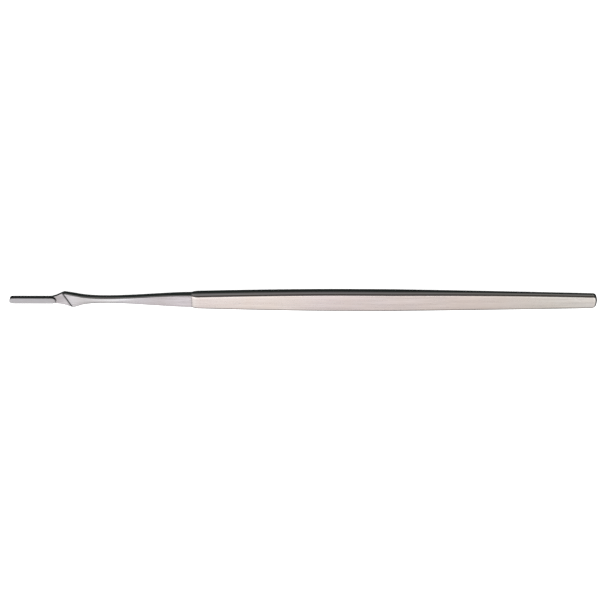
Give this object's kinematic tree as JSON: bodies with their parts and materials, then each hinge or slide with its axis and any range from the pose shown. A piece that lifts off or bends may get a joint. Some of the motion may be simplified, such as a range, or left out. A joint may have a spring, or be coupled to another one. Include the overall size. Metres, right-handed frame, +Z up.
{
  "type": "long scalpel handle",
  "caption": "Long slim steel handle with a grooved oblong stud that takes a removable surgical blade, a waisted neck and a bevelled grip with a rounded butt.",
  "frame": {"origin": "on the surface that the handle lies on, under the centre of its bounding box", "axes": "+X along the handle towards the blade stud, +Y across the wide faces, +Z up, out of the wide face on the stud's side"},
  "size_m": [0.21, 0.0084, 0.0036],
  "materials": {
    "grip_steel": "stainless steel, wide faces ground lengthwise to a satin, sides and bevels polished",
    "neck_steel": "stainless steel, ground lengthwise and lightly polished",
    "stud_steel": "stainless steel, as machined"
  },
  "bodies": {
    "root": {"grip": "grip_steel", "blade_holder": "neck_steel", "blade_stud": "stud_steel"}
  },
  "joints": []
}
